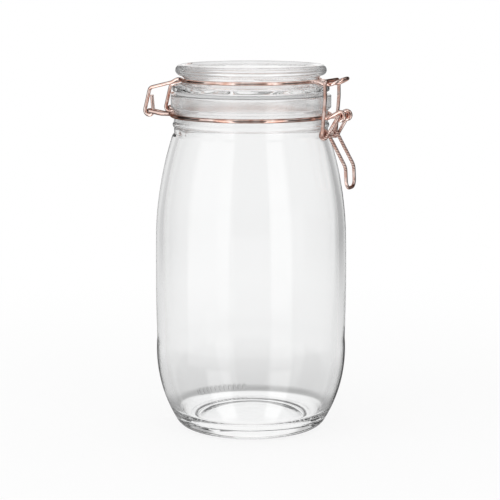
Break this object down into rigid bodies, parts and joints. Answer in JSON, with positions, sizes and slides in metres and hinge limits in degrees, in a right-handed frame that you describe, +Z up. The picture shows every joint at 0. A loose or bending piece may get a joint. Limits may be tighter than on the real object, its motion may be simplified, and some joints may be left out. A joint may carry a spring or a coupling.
{
  "type": "airtight storage jar",
  "caption": "Clear glass storage jar with a hinged glass lid, a sealing ring and a bent-wire swing clasp, empty.",
  "frame": {"origin": "on the jar's axis, in the plane of the foot ring that it stands on", "axes": "+Z up along the jar's axis, +X towards the clasp, -X towards the hinge, +Y completes the frame; the closed jar is symmetric about the XZ plane"},
  "size_m": [0.1333, 0.1184, 0.2252],
  "materials": {
    "jar_glass": "clear, polished",
    "lid_glass": "clear, polished",
    "gasket": "translucent white silicone",
    "wire": "rose-gold plated steel wire"
  },
  "bodies": {
    "jar": {"jar_body": "jar_glass", "neck_ring": "wire"},
    "lid": {"lid_glass": "lid_glass", "gasket": "gasket", "lid_wire": "wire"},
    "lever": {"lever": "wire"},
    "link": {"link": "wire"}
  },
  "joints": [
    {"name": "lid_hinge", "type": "hinge", "parent": "jar", "child": "lid", "pos_m": [-0.0628, 0, 0.1961], "axis": [0, -1, 0], "range_deg": [0, 110]},
    {"name": "lever_pivot", "type": "hinge", "parent": "jar", "child": "lever", "pos_m": [0.0607, 0, 0.1959], "axis": [0, 1, 0], "range_deg": [-104, 0]},
    {"name": "link_pivot", "type": "hinge", "parent": "lever", "child": "link", "pos_m": [0.0515, 0, 0.1846], "axis": [0, 1, 0], "range_deg": [0, 147.5]}
  ],
  "couplings": [
    {"joint": "link_pivot", "follows": "lever_pivot", "ratio": -1.4135}
  ]
}
